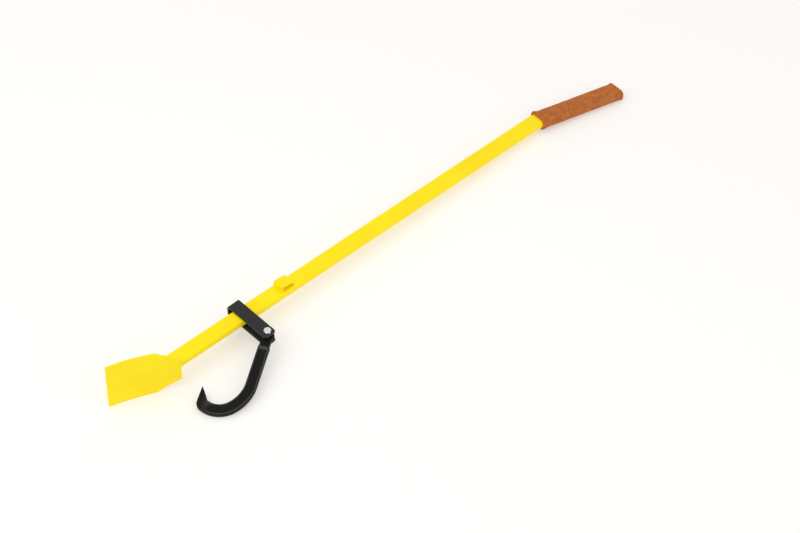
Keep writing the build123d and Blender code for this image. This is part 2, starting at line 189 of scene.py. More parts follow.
def belongs(piece, body, slot_name, *nodes):
    """The piece rides on a body and stands for CAD nodes; its slot name is not used."""
    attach(piece, body)
    if nodes:
        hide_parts(*nodes)
    return piece


def blade_point(along, depth):
    """A point of the blade seen from above: along from the heel, depth behind its front."""
    heading = Vector((-math.cos(HEEL_ANGLE), math.sin(HEEL_ANGLE)))
    behind = Vector((math.sin(HEEL_ANGLE), math.cos(HEEL_ANGLE)))
    if along <= HEEL_LENGTH:
        return BLADE_HEEL + heading * along + behind * depth
    centre = BLADE_HEEL + heading * HEEL_LENGTH - behind * BOW_RADIUS
    turned = math.pi / 2 - HEEL_ANGLE + (along - HEEL_LENGTH) / BOW_RADIUS
    return centre + Vector((math.cos(turned), math.sin(turned))) * (BOW_RADIUS + depth)


def blade_outline(along):
    """Half the blade's width at a distance from the heel, its shoulder still sharp."""
    if along < HEEL_CORNER:
        rise = math.sqrt(max(0.0, HEEL_CORNER ** 2 - (HEEL_CORNER - along) ** 2))
        return HEEL_HALF_WIDTH - HEEL_CORNER + rise
    if along < HEEL_LENGTH:
        share = (along - HEEL_CORNER) / (HEEL_LENGTH - HEEL_CORNER)
        hollow = share - 0.42 * share * (1 - share)
        return HEEL_HALF_WIDTH + (SHOULDER_HALF_WIDTH - HEEL_HALF_WIDTH) * hollow
    share = (along - HEEL_LENGTH) / OUTER_LENGTH
    return SHOULDER_HALF_WIDTH + (EDGE_HALF_WIDTH - SHOULDER_HALF_WIDTH) * share


def blade_half_width(along):
    """The outline with its shoulder rounded by averaging over a short reach."""
    if abs(along - HEEL_LENGTH) > SHOULDER_REACH:
        return blade_outline(along)
    near = [blade_outline(along + SHOULDER_REACH * (i / 4 - 1)) for i in range(9)]
    return sum(near) / len(near)


def grid_sheet(rows, columns, place_of):
    """A sheet of rows by columns whose corner (i, j) goes to place_of(i, j)."""
    sheet = bmesh.new()
    bmesh.ops.create_grid(sheet, x_segments=rows, y_segments=columns, size=0.5)
    for vert in sheet.verts:
        vert.co = place_of(round((vert.co.x + 0.5) * rows), round((vert.co.y + 0.5) * columns))
    return sheet


def thicken(sheet, moved):
    """Give a sheet a second side: moved(place) says where each corner's twin goes."""
    grown = bmesh.ops.extrude_face_region(sheet, geom=list(sheet.faces))
    for vert in grown["geom"]:
        if isinstance(vert, bmesh.types.BMVert):
            vert.co = moved(vert.co.copy())


def break_edges(solid, width, angle=50.0, segments=3):
    """Round every edge sharper than an angle, as deburring and coating leave it."""
    solid.normal_update()
    least = math.radians(angle)
    sharp = [e for e in solid.edges if len(e.link_faces) == 2 and e.calc_face_angle(0.0) > least]
    bmesh.ops.bevel(
        solid, geom=sharp, offset=width, offset_type="OFFSET", segments=segments,
        profile=0.5, affect="EDGES", material=-1, clamp_overlap=True,
    )


corner_rows = [0.0, 0.15, 0.5, 1.1, 2.0, 3.0]
even_rows = [3.0 + (blade_length / MM - 3.0) * i / 64 for i in range(1, 65)]
blade_rows = [along * MM for along in corner_rows + even_rows]
BLADE_COLUMNS = 24


def blade_front(row, column):
    """A corner of the front face's grid."""
    along = blade_rows[row]
    seen = blade_point(along, 0)
    return Vector((seen.x, seen.y, (2 * column / BLADE_COLUMNS - 1) * blade_half_width(along)))


def blade_back(front):
    """Straight behind a corner of the front face, less where the edge is ground."""
    along = min(blade_rows, key=lambda a: abs(blade_point(a, 0).x - front.x))
    ground = min(1.0, (blade_length - along) / GRIND_LENGTH)
    seen = blade_point(along, EDGE_THICKNESS + (BLADE_THICKNESS - EDGE_THICKNESS) * ground)
    return Vector((seen.x, seen.y, front.z))


blade_mesh = grid_sheet(len(blade_rows) - 1, BLADE_COLUMNS, blade_front)
thicken(blade_mesh, blade_back)
break_edges(blade_mesh, 0.6 * MM)
blade_plate = make_piece("blade_plate", blade_mesh, bar_frame, powder_yellow)
belongs(blade_plate, "lever", "yellow_enamel", "blade")

# ---------------------------------------------------------------------------------------
# The weld round the bar's end: one run of weld bead, laid in short overlapping pools where
# the mitred tube meets the back of the blade, then coated over with the rest.
BEAD_RADIUS = 2.3 * MM
POOL_PITCH = 2.6 * MM
TUBE_HALF_WIDTH = 16.5 * MM
TUBE_HALF_HEIGHT = 8.25 * MM
TUBE_CORNER = 5.0 * MM


def loft(rings, loop=False, capped=True):
    """A skin over closed rings of equally many points; a loop joins the last to the first."""
    rows = len(rings) if loop else len(rings) - 1
    around = len(rings[0])
    skin = grid_sheet(rows, around, lambda i, j: rings[i % len(rings)][j % around])
    bmesh.ops.remove_doubles(skin, verts=skin.verts, dist=1e-7)
    if capped and not loop:
        open_edges = [e for e in skin.edges if len(e.link_faces) == 1]
        bmesh.ops.holes_fill(skin, edges=open_edges, sides=0)
    return skin


def rounded_rectangle(half_width, half_height, corner, count):
    """Points round a rectangle with rounded corners, evenly spread by angle."""
    points = []
    for i in range(count):
        quarter, share = divmod(i * 4 / count, 1)
        angle = (quarter + share) * math.pi / 2
        sx = 1 if quarter in (0, 3) else -1
        sy = 1 if quarter in (0, 1) else -1
        points.append((
            sx * (half_width - corner) + corner * math.cos(angle),
            sy * (half_height - corner) + corner * math.sin(angle),
        ))
    return points


def weld_bead(path, radius, loop, seed):
    """A rippled bead along a path of points; its pools are a pitch apart and a bit uneven."""
    rings = []
    count = len(path)
    for i, point in enumerate(path):
        before = path[(i - 1) % count] if loop or i > 0 else point
        after = path[(i + 1) % count] if loop or i < count - 1 else point
        along = (after - before).normalized()
        travelled = i * POOL_PITCH / 5
        ripple = 1 - 0.16 * abs(math.sin(math.pi * travelled / POOL_PITCH))
        uneven = 1 + 0.10 * noise.noise(Vector((travelled / (6 * MM), seed, 0)))
        end = 1.0 if loop else min(1.0, 0.45 + 0.25 * min(i, count - 1 - i))
        size = radius * ripple * uneven * end
        reference = Vector((0.3, 0.2, 1)).normalized()
        side = (reference - along * reference.dot(along)).normalized()
        other = along.cross(side)
        rings.append([
            point + (side * math.cos(a) + other * math.sin(a)) * size
            for a in (2 * math.pi * k / 12 for k in range(12))
        ])
    return loft(rings, loop=loop)


def even_steps(points, step, loop):
    """The same line with its points a step apart."""
    line = list(points) + ([points[0]] if loop else [])
    stretched, carried = [line[0]], 0.0
    for start, end in zip(line, line[1:]):
        length = (end - start).length
        while carried + length >= step:
            start = start + (end - start) * ((step - carried) / length)
            length = (end - start).length
            stretched.append(start)
            carried = 0.0
            if length < 1e-9:
                break
        carried += length
    return stretched[:-1] if loop and (stretched[-1] - stretched[0]).length < step * 0.6 else stretched


def behind_blade(y, depth):
    """How far from the heel the surface at a depth has a given y."""
    low, high = 0.0, blade_length
    for _ in range(40):
        middle = (low + high) / 2
        if blade_point(middle, depth).y < y:
            low = middle
        else:
            high = middle
    return low


mitre = []
for y, z in rounded_rectangle(TUBE_HALF_WIDTH + 0.5 * MM, TUBE_HALF_HEIGHT + 0.5 * MM, TUBE_CORNER, 64):
    seat = blade_point(behind_blade(y, BLADE_THICKNESS + 0.6 * MM), BLADE_THICKNESS + 0.6 * MM)
    mitre.append(Vector((seat.x, seat.y, z)))
mitre_bead = weld_bead(even_steps(mitre, POOL_PITCH / 5, True), BEAD_RADIUS, True, 1.0)
mitre_weld_bead = make_piece("mitre_weld_bead", mitre_bead, bar_frame, powder_yellow, 60)
belongs(mitre_weld_bead, "lever", "yellow_enamel", "blade_weld")

# ---------------------------------------------------------------------------------------
# The plug weld: a hole in the bar's upper face, filled with weld on to the tang inside and
# left a little sunk, so that the coat shows a small round dimple.
PLUG_RINGS_MM = [  # radius, height above the bar's face
    (4.6, 0.02), (4.2, 0.12), (3.9, -0.2), (3.3, -1.1), (2.4, -1.35), (1.5, -1.1), (0.6, -1.25),
]
plug_rings = []
for radius, height in PLUG_RINGS_MM:
    plug_rings.append([
        Vector((
            PLUG_WELD_X + radius * MM * math.cos(a),
            radius * MM * math.sin(a),
            TUBE_HALF_HEIGHT + height * MM + 0.1 * MM * math.sin(3 * a + radius),
        ))
        for a in (2 * math.pi * k / 24 for k in range(24))
    ])
plug_rings.insert(0, [Vector((p.x, p.y, TUBE_HALF_HEIGHT - 2.2 * MM)) for p in plug_rings[2]])
plug_mesh = loft(plug_rings)
plug_weld_dimple = make_piece("plug_weld_dimple", plug_mesh, bar_frame, powder_yellow, 60)
belongs(plug_weld_dimple, "lever", "yellow_enamel", "tang_plug_weld")

# ---------------------------------------------------------------------------------------
# The stop loop: a flat strip, bent down at both ends in a press brake and welded on to the
# bar's upper face at its feet. The strap runs up against it.
LOOP_START = 229.7 * MM
LOOP_LENGTH = 30.6 * MM
LOOP_HALF_WIDTH = 12.5 * MM
LOOP_STRIP = 3.0 * MM
LOOP_FRONT_HEIGHT = 13.8 * MM
LOOP_BACK_HEIGHT = 10.7 * MM
LOOP_BEND = 4.5 * MM
BEND_STEPS = 7


def bent_line(corners, radius, steps):
    """A line through corners, each rounded by an arc of short steps."""
    line = [corners[0]]
    for before, corner, after in zip(corners, corners[1:], corners[2:]):
        into = (corner - before).normalized()
        out = (after - corner).normalized()
        turn = into.angle(out)
        reach = radius * math.tan(turn / 2)
        start = corner - into * reach
        inward = (out - into * math.cos(turn)) / math.sin(turn)
        for i in range(steps + 1):
            part = turn * i / steps
            onward = into * (radius * math.sin(part))
            line.append(start + onward + inward * (radius * (1 - math.cos(part))))
    line.append(corners[-1])
    return line


def bent_strip(outer, inner, half_widths, to_space):
    """A strip between two matching lines, as wide at each point as its half width says."""
    columns = 2

    def outside(i, j):
        return to_space(outer[i], half_widths[i] * (j - 1))

    strip = grid_sheet(len(outer) - 1, columns, outside)
    twins = {}
    for i in range(len(outer)):
        for j in range(columns + 1):
            key = tuple(round(c * 1e7) for c in outside(i, j))
            twins[key] = to_space(inner[i], half_widths[i] * (j - 1))
    thicken(strip, lambda place: twins[tuple(round(c * 1e7) for c in place)])
    return strip


def loop_corners(inset):
    """The loop's corners seen from the side, set in from its outer line."""
    foot, end = TUBE_HALF_HEIGHT, LOOP_START + LOOP_LENGTH
    return [
        Vector((LOOP_START + inset, foot)),
        Vector((LOOP_START + inset, foot + LOOP_FRONT_HEIGHT - inset)),
        Vector((end - inset, foot + LOOP_BACK_HEIGHT - inset)),
        Vector((end - inset, foot)),
    ]


loop_outer = bent_line(loop_corners(0.0), LOOP_BEND, BEND_STEPS)
loop_inner = bent_line(loop_corners(LOOP_STRIP), LOOP_BEND - LOOP_STRIP, BEND_STEPS)
loop_mesh = bent_strip(
    loop_outer, loop_inner, [LOOP_HALF_WIDTH] * len(loop_outer), lambda p, w: Vector((p.x, w, p.y))
)
break_edges(loop_mesh, 0.5 * MM)
stop_loop_strip = make_piece("stop_loop_strip", loop_mesh, bar_frame, powder_yellow)
belongs(stop_loop_strip, "lever", "yellow_enamel", "stop_loop")

# ---------------------------------------------------------------------------------------
# The loop's welds: one short bead along the outer foot of each leg, thinner at its ends,
# coated over with the rest.
LOOP_BEAD_RADIUS = 1.9 * MM
LOOP_BEAD_HALF_LENGTH = 11.0 * MM
LOOP_BEAD_SET_OFF = 0.9 * MM
LOOP_BEAD_HEIGHT = TUBE_HALF_HEIGHT + 0.7 * MM
loop_feet = (
    ("front", LOOP_START - LOOP_BEAD_SET_OFF, 3.0),
    ("rear", LOOP_START + LOOP_LENGTH + LOOP_BEAD_SET_OFF, 7.0),
)
for name, foot_x, seed in loop_feet:
    ends = [Vector((foot_x, side * LOOP_BEAD_HALF_LENGTH, LOOP_BEAD_HEIGHT)) for side in (-1, 1)]
    bead = weld_bead(even_steps(ends, POOL_PITCH / 5, False), LOOP_BEAD_RADIUS, False, seed)
    loop_weld = make_piece(f"loop_weld_{name}", bead, bar_frame, powder_yellow, 60)
    belongs(loop_weld, "lever", "yellow_enamel", "stop_loop_welds")

# ---------------------------------------------------------------------------------------
# The grip: a sleeve of brown nubuck-like leather over the bent handle. Its mouth and its
# closed end stand out in soft lips, and its nap is mottled where hands and light rub it.
VERTEX_X = 943.0 * MM
HANDLE_ANGLE = math.radians(14.3)
GRIP_END = 199.2 * MM
GRIP_WALL = 3.4 * MM
GRIP_POINTS = 72

handle_along = Vector((math.cos(HANDLE_ANGLE), -math.sin(HANDLE_ANGLE), 0))
handle_across = Vector((math.sin(HANDLE_ANGLE), math.cos(HANDLE_ANGLE), 0))
handle_up = Vector((0, 0, 1))
handle_frame = bar_frame @ place_frame(Vector((VERTEX_X, 0, 0)), handle_along, handle_across, handle_up)


def grip_ring(distance, proud, wrinkle=1.0, hang=0.0, skew=0.0):
    """A ring of the sleeve, proud of the tube; its near side may hang out and lie further on."""
    grow = proud * MM
    half_width, half_height = TUBE_HALF_WIDTH + grow, TUBE_HALF_HEIGHT + grow
    ring = []
    for y, z in rounded_rectangle(half_width, half_height, TUBE_CORNER + grow * 0.85, GRIP_POINTS):
        outward = Vector((0, y / half_width, z / half_height)).normalized()
        place = Vector(((distance - skew * outward.y) * MM, y, z))
        folds = noise.noise(Vector((distance / 16, y / (13 * MM), z / (11 * MM)))) * 0.45
        folds += noise.noise(Vector((distance / 5, y / (5 * MM), z / (5 * MM)))) * 0.14
        near_side = max(0.0, -outward.y - 0.15 * abs(outward.z))
        ring.append(place + outward * (folds * wrinkle + hang * near_side) * MM)
    return ring


# Profiles of the mouth and of the closed end, in millimetres: distance along the handle (for
# the end, back from the end), how proud the lip is of the tube, hang and skew.
GRIP_MOUTH = (
    (4.2, 4.6, -1.2, 2.6), (5.3, 5.8, -2.0, 2.5), (6.9, 6.1, -2.2, 2.3), (8.5, 5.5, -1.8, 1.9),
    (10.3, 4.6, -1.0, 1.3), (12.5, 3.9, -0.2, 0.7), (15.0, 3.5, 0.0, 0.2),
)
GRIP_BACK = (
    (11, 3.4, 0.0, 0.5), (8, 3.6, 0.1, 1.3), (5.0, 4.1, 0.2, 2.2), (2.8, 4.6, 0.4, 3.0),
    (1.3, 4.7, 0.5, 3.5), (0.0, 4.2, 0.4, 3.9), (-0.9, 3.2, 0.3, 4.0), (-1.3, 1.8, 0.1, 3.9),
)
GRIP_EVEN_START, GRIP_EVEN_END, GRIP_EVEN_RINGS = 17.5, 15.0, 60
end_mm = GRIP_END / MM
grip_rings = [grip_ring(14.5, 0.15, 0), grip_ring(5.5, 0.15, 0, 0, 2.2), grip_ring(4.3, 0.9, 0.4, 0, 2.4)]
grip_rings.append(grip_ring(3.8, 2.6, 0.6, -0.3, 2.6))
for distance, proud, hang, skew in GRIP_MOUTH:
    grip_rings.append(grip_ring(distance, proud, 0.8, hang, skew))
for i in range(GRIP_EVEN_RINGS):
    share = i / (GRIP_EVEN_RINGS - 1)
    even_length = end_mm - GRIP_EVEN_END - GRIP_EVEN_START
    grip_rings.append(grip_ring(GRIP_EVEN_START + even_length * share, GRIP_WALL / MM))
for back_from_end, proud, hang, skew in GRIP_BACK:
    grip_rings.append(grip_ring(end_mm - back_from_end, proud, 0.9, hang, skew))
grip_rings += [grip_ring(end_mm + 1.3, -0.5, 0.6, 0, 3.0), grip_ring(end_mm + 0.9, -4.0, 0.3, 0, 1.5)]
grip_mesh = loft(grip_rings)

# Nubuck: leather with its grain side sanded to a short nap. Matt, with a soft sheen at
# grazing angles and mottled where the nap lies in different directions.
nubuck_brown, tree, shader, place = finish_material(
    "nubuck_leather_brown", Roughness=0.88, Specular_IOR_Level=0.25,
    Sheen_Weight=0.35, Sheen_Roughness=0.5,
)
shader.inputs["Sheen Tint"].default_value = colour("#E0A070")
patches = node(tree, "ShaderNodeTexNoise", Vector=place, Scale=per_metre(14), Detail=5.0, Roughness=0.65)
nap = node(tree, "ShaderNodeTexNoise", Vector=place, Scale=per_metre(2.2), Detail=4.0, Roughness=0.7)
mottle = node(
    tree, "ShaderNodeMix", {"data_type": "FLOAT"},
    i0=0.55, i2=patches.outputs["Fac"], i3=nap.outputs["Fac"],
)
hide_tone = node(
    tree, "ShaderNodeValToRGB", stops=[(0.34, "#8E4619"), (0.5, "#B4652D"), (0.68, "#CB8146")],
    Fac=mottle.outputs[0],
).outputs["Color"]
fibres = node(tree, "ShaderNodeBump", Height=nap.outputs["Fac"], Strength=0.45, Distance=0.5 * MM)
tree.links.new(hide_tone, shader.inputs["Base Color"])
tree.links.new(fibres.outputs["Normal"], shader.inputs["Normal"])
grip_leather = make_piece("grip_leather", grip_mesh, handle_frame, nubuck_brown, 80)
belongs(grip_leather, "lever", "brown_grip", "grip_sleeve")

# ---------------------------------------------------------------------------------------
# The tang: a bare rolled steel bar inside the tube, out of sight, welded to the back of the
# blade. Mill scale covers it in dull blue-grey patches.
mill_steel, tree, shader, place = finish_material("mill_scale_steel", Metallic=1.0)
scale_patches = node(tree, "ShaderNodeTexNoise", Vector=place, Scale=per_metre(9), Detail=5.0)
scale_tone = node(
    tree, "ShaderNodeValToRGB", stops=[(0.35, "#3A3B3E"), (0.7, "#6A6B6E")],
    Fac=scale_patches.outputs["Fac"],
).outputs["Color"]
scale_rough = node(
    tree, "ShaderNodeMapRange", i0=scale_patches.outputs["Fac"], i1=0.3, i2=0.7, i3=0.45, i4=0.7
)
tree.links.new(scale_tone, shader.inputs["Base Color"])
tree.links.new(scale_rough.outputs[0], shader.inputs["Roughness"])
coat_cad("blade_tang", mill_steel)

# ---------------------------------------------------------------------------------------
# The tube's end plug: injection moulded polyethylene, pushed into the open end of the tube
# under the grip, out of sight. Its surface has a fine moulded grain.
moulded_black, tree, shader, place = finish_material(
    "moulded_polyethylene_black", Roughness=0.55, IOR=1.51
)
grain = node(tree, "ShaderNodeTexNoise", Vector=place, Scale=per_metre(0.8), Detail=2.0)
grain_bump = node(tree, "ShaderNodeBump", Height=grain.outputs["Fac"], Strength=0.15, Distance=0.1 * MM)
grain_tone = node(
    tree, "ShaderNodeValToRGB", stops=[(0.3, "#141414"), (0.7, "#202020")],
    Fac=grain.outputs["Fac"],
).outputs["Color"]
tree.links.new(grain_tone, shader.inputs["Base Color"])
tree.links.new(grain_bump.outputs["Normal"], shader.inputs["Normal"])
coat_cad("tube_end_plug", moulded_black)

# ---------------------------------------------------------------------------------------
# The strap: 26 x 4 mm flat bar, bent square round the bar with loose room, its legs drilled
# for the pivot bolt. Its frame has Z along the bolt and Y along the legs, away from it.
STRAP_HALF_WIDTH = 13.0 * MM
STRAP_THICKNESS = 4.0 * MM
STRAP_HALF_GAP = 9.75 * MM
STRAP_TOP = STRAP_HALF_GAP + STRAP_THICKNESS
STRAP_FAR = 29.5 * MM
STRAP_NEAR = -78.3 * MM
STRAP_BEND = 7.0 * MM
LEG_CORNER = 5.0 * MM
PIVOT_Y = -69.3 * MM

hook_hinge = next(j for j in frame["joints"] if j["name"] == "hook_swing")
strap_up = Vector(hook_hinge["axis"]).normalized()
strap_across = strap_up.cross(bar_along).normalized()
strap_along = strap_across.cross(strap_up).normalized()
pivot_frame = place_frame(Vector(hook_hinge["pos_m"]), strap_along, strap_across, strap_up)
strap_frame = pivot_frame @ Matrix.Translation((0, -PIVOT_Y, 0))

# Satin black powder coat on bent bar and forging: a thin, even, slightly textured film
# that shows soft grey highlights and a little dust-grey where handling has rubbed it.
satin_black, tree, shader, place = finish_material(
    "powder_coat_satin_black", IOR=1.5, Specular_IOR_Level=0.4
)
rubbed = node(tree, "ShaderNodeTexNoise", Vector=place, Scale=per_metre(24), Detail=5.0, Roughness=0.6)
texture = node(tree, "ShaderNodeTexNoise", Vector=place, Scale=per_metre(1.6), Detail=3.0)
black_tone = node(
    tree, "ShaderNodeValToRGB", stops=[(0.35, "#141312"), (0.75, "#211F1E")],
    Fac=rubbed.outputs["Fac"],
).outputs["Color"]
black_rough = node(tree, "ShaderNodeMapRange", i0=rubbed.outputs["Fac"], i1=0.3, i2=0.7, i3=0.42, i4=0.58)
black_bump = node(tree, "ShaderNodeBump", Height=texture.outputs["Fac"], Strength=0.12, Distance=0.3 * MM)
tree.links.new(black_tone, shader.inputs["Base Color"])
tree.links.new(black_rough.outputs[0], shader.inputs["Roughness"])
tree.links.new(black_bump.outputs["Normal"], shader.inputs["Normal"])


def strap_line(height, far, radius):
    """One side of the bent bar: extra points near each end follow its rounded corners."""
    *near, first = [STRAP_NEAR + step * MM for step in (0.0, 0.3, 1.0, 2.2, 3.6, 5.0)]
    corners = [Vector(p) for p in ((first, height), (far, height), (far, -height), (first, -height))]
    upper = [Vector((y, height)) for y in near]
    lower = [Vector((y, -height)) for y in reversed(near)]
    return upper + bent_line(corners, radius, BEND_STEPS) + lower


def strap_half_width(y):
    """Half the strap's width, less where its legs' corners are rounded."""
    inset = max(0.0, LEG_CORNER - (y - STRAP_NEAR))
    return STRAP_HALF_WIDTH - LEG_CORNER + math.sqrt(max(0.0, LEG_CORNER ** 2 - inset ** 2))


strap_outer = strap_line(STRAP_TOP, STRAP_FAR, STRAP_BEND)
strap_inner = strap_line(STRAP_HALF_GAP, STRAP_FAR - STRAP_THICKNESS, STRAP_BEND - STRAP_THICKNESS)
strap_widths = [strap_half_width(p.x) for p in strap_outer]
strap_mesh = bent_strip(strap_outer, strap_inner, strap_widths, lambda p, w: Vector((w, p.x, p.y)))
break_edges(strap_mesh, 0.5 * MM)
strap_flat_bar = make_piece("strap_flat_bar", strap_mesh, strap_frame, satin_black)
belongs(strap_flat_bar, "strap", "black_enamel", "hook_strap")

# ---------------------------------------------------------------------------------------
# The pivot bolt: a bright zinc-plated M8 hexagon bolt, cold headed and rolled, its head on the
# strap's upper leg. Its shank goes down through both legs, and its thread shows past the nut.
ZINC_FLATS = 13.0 * MM
HEAD_HEIGHT = 5.3 * MM
BOLT_RADIUS = 3.95 * MM
THREAD_PITCH = 1.25 * MM
THREAD_DEPTH = 0.6 * MM
HEAD_CHAMFER = math.radians(30)
FACE_SHARE = 0.96
END_CHAMFER = 0.9 * MM
WASHER_THICKNESS = 1.6 * MM
NUT_HEIGHT = 6.5 * MM
COLLAR_HEIGHT = 1.8 * MM
BOLT_TIP = 2.5 * MM
AROUND = 48
nut_top = -STRAP_TOP - WASHER_THICKNESS
bolt_end = nut_top - NUT_HEIGHT - COLLAR_HEIGHT - BOLT_TIP

# Bright zinc plate on steel: a thin metal film, clear and slightly bluish, faintly cloudy
# from its passivation.
bright_zinc, tree, shader, place = finish_material("bright_zinc_plate", Metallic=1.0)
cloud = node(tree, "ShaderNodeTexNoise", Vector=place, Scale=per_metre(3), Detail=4.0)
zinc_tone = node(
    tree, "ShaderNodeValToRGB", stops=[(0.3, "#E6E8EB"), (0.7, "#FAFAFA")],
    Fac=cloud.outputs["Fac"],
).outputs["Color"]
zinc_rough = node(tree, "ShaderNodeMapRange", i0=cloud.outputs["Fac"], i1=0.3, i2=0.7, i3=0.22, i4=0.38)
tree.links.new(zinc_tone, shader.inputs["Base Color"])
tree.links.new(zinc_rough.outputs[0], shader.inputs["Roughness"])


def turned_ring(radius, height):
    """A circle of points round the bolt's axis."""
    turns = (2 * math.pi * k / AROUND for k in range(AROUND))
    return [Vector((radius * math.cos(a), radius * math.sin(a), height)) for a in turns]


def hexagon_ring(height, corner_limit=None):
    """A hexagon's outline; with a limit, its corners are cut back to that radius."""
    ring = []
    for k in range(AROUND):
        angle = 2 * math.pi * k / AROUND
        within = (angle + math.pi / 6) % (math.pi / 3) - math.pi / 6
        radius = ZINC_FLATS / 2 / math.cos(within)
        drop = 0.0
        if corner_limit is not None:
            drop = max(0.0, radius - corner_limit) * math.tan(HEAD_CHAMFER)
        ring.append(Vector((radius * math.cos(angle), radius * math.sin(angle), height - drop)))
    return ring


def hexagon(low, high, round_top, round_low):
    """A hexagonal block whose ends are turned to a 30 degree chamfer where asked."""
    face_radius = ZINC_FLATS / 2 * FACE_SHARE
    rings = []
    if round_low:
        rings += [turned_ring(face_radius, low)]
        rings += [[Vector((p.x, p.y, 2 * low - p.z)) for p in hexagon_ring(low, face_radius)]]
    else:
        rings += [hexagon_ring(low)]
    if round_top:
        rings += [hexagon_ring(high, face_radius), turned_ring(face_radius, high)]
    else:
        rings += [hexagon_ring(high)]
    return loft(rings)


def join_into(solid, other):
    """Add another mesh to a mesh."""
    carried = bpy.data.meshes.new("carried")
    other.to_mesh(carried)
    other.free()
    solid.from_mesh(carried)
    bpy.data.meshes.remove(carried)


bolt_mesh = hexagon(STRAP_TOP, STRAP_TOP + HEAD_HEIGHT, True, False)
thread_rings = [turned_ring(BOLT_RADIUS, STRAP_TOP + 0.5 * MM), turned_ring(BOLT_RADIUS, nut_top)]
height = nut_top
while height - THREAD_PITCH > bolt_end + END_CHAMFER:
    thread_rings.append(turned_ring(BOLT_RADIUS - THREAD_DEPTH, height - THREAD_PITCH / 2))
    thread_rings.append(turned_ring(BOLT_RADIUS, height - THREAD_PITCH))
    height -= THREAD_PITCH
thread_rings += [turned_ring(BOLT_RADIUS - END_CHAMFER, bolt_end)]
join_into(bolt_mesh, loft(thread_rings))
pivot_bolt_m8 = make_piece("pivot_bolt_m8", bolt_mesh, pivot_frame, bright_zinc, 30)
belongs(pivot_bolt_m8, "strap", "zinc_steel", "pivot_bolt")

# ---------------------------------------------------------------------------------------
# The washer: a plain stamped M8 washer in the same zinc plate, under the strap's lower leg.
# Its outer edges are rounded a little by stamping and barrel plating.
WASHER_PROFILE_MM = ((4.2, 0.0), (7.7, 0.0), (8.0, 0.3), (8.0, 1.3), (7.7, 1.6), (4.2, 1.6))
washer_rings = [
    turned_ring(radius * MM, -STRAP_TOP - depth * MM) for radius, depth in WASHER_PROFILE_MM
]
washer_mesh = loft(washer_rings, loop=True)
pivot_washer_plain = make_piece("pivot_washer_plain", washer_mesh, pivot_frame, bright_zinc, 30)
belongs(pivot_washer_plain, "strap", "zinc_steel", "pivot_washer")

# ---------------------------------------------------------------------------------------
# The lock nut: a self-locking M8 nut in the same zinc plate, its thin collar crimped over a
# nylon ring so that the hook's pivot can be set free-running without coming loose.
COLLAR_PROFILE_MM = ((4.95, -0.5), (6.1, -0.5), (5.8, 0.2), (5.7, 1.2), (5.3, 1.8), (4.95, 1.6))
collar_low = nut_top - NUT_HEIGHT
nut_mesh = hexagon(collar_low, nut_top, True, True)
collar_rings = [
    turned_ring(radius * MM, collar_low - depth * MM) for radius, depth in COLLAR_PROFILE_MM
]
join_into(nut_mesh, loft(collar_rings, loop=True))
lock_nut_m8 = make_piece("lock_nut_m8", nut_mesh, pivot_frame, bright_zinc, 30)
belongs(lock_nut_m8, "strap", "zinc_steel", "lock_nut")

# ---------------------------------------------------------------------------------------
# The nut's locking ring: nylon, a slightly translucent, waxy plastic, moulded as a plain ring
# and dyed blue. The bolt's thread presses its own way through it.
nylon_blue, tree, shader, place = finish_material(
    "nylon_blue", Roughness=0.4, IOR=1.53, Subsurface_Weight=0.2, Subsurface_Scale=1.0 * MM
)
dye = node(tree, "ShaderNodeTexNoise", Vector=place, Scale=per_metre(4), Detail=2.0)
nylon_tone = node(
    tree, "ShaderNodeValToRGB", stops=[(0.3, "#2F5696"), (0.7, "#3C66AC")],
    Fac=dye.outputs["Fac"],
).outputs["Color"]
tree.links.new(nylon_tone, shader.inputs["Base Color"])
coat_cad("lock_nut_ring", nylon_blue)

# ---------------------------------------------------------------------------------------
# The hook: a drop forging with a drilled eye, a fluted shank and belly, and a beak drawn to
# a point, trimmed and coated black. In its frame X is along the shank from the pivot, and
# its open side is towards -Y.
HOOK_TIP_DIRECTION = math.radians(209.0)
HOOK_DROOP = math.radians(9.127)
HOOK_DIRECTION = math.radians(211.2)
HALF_SHANK = 11.05
SHANK_START, SHANK_END = 24.0, 106.4
BACK_RADIUS, BACK_TURN = 74.3, 44.6
BELLY_RADIUS = 43.7
BEAK_TURN = 30.0
BEAK_POINT = Vector((128.5, 86.8))
BEAK_CORNER, BEAK_BACK = Vector((171.4, 86.8)), Vector((163.0, 86.8))
BEAK_DRAWN_FROM_X, BEAK_DRAWN_FROM_Y, BEAK_DRAWN_REACH = 158.0, 58.0, 8.0
BEAK_STATIONS, BEAK_CORNER_SHARE = 20, 0.4
BACK_STATIONS, BELLY_STATIONS = 10, 24
FLUTE_END, FLUTE_FADE = 24.0, 22.0
RIM_HEIGHT, RIM_END_Y, RIM_FADE = 1.3, 80.0, 16.0
HALF_THICKNESS, POINT_HALF_THICKNESS = 6.0, 0.8
EYE_RADIUS, EYE_HOLE, EYE_HALF = 12.5, 5.3, 5.0
NECK_HALF_WIDTH = 9.6
FLUTE_DEPTH = 1.9
hook_turn = (
    Matrix.Rotation(HOOK_TIP_DIRECTION, 4, "Z") @ Matrix.Rotation(HOOK_DROOP, 4, "Y")
    @ Matrix.Rotation(HOOK_DIRECTION - HOOK_TIP_DIRECTION, 4, "Z")
)
hook_frame = pivot_frame @ hook_turn

back_centre = Vector((SHANK_END, BACK_RADIUS))
turned = math.radians(BACK_TURN)
belly_centre = back_centre + Vector((math.sin(turned), -math.cos(turned))) * (BACK_RADIUS - BELLY_RADIUS)


def on_arc(centre, radius, degrees):
    """A point of an arc at an angle in degrees."""
    return centre + Vector((math.cos(math.radians(degrees)), math.sin(math.radians(degrees)))) * radius


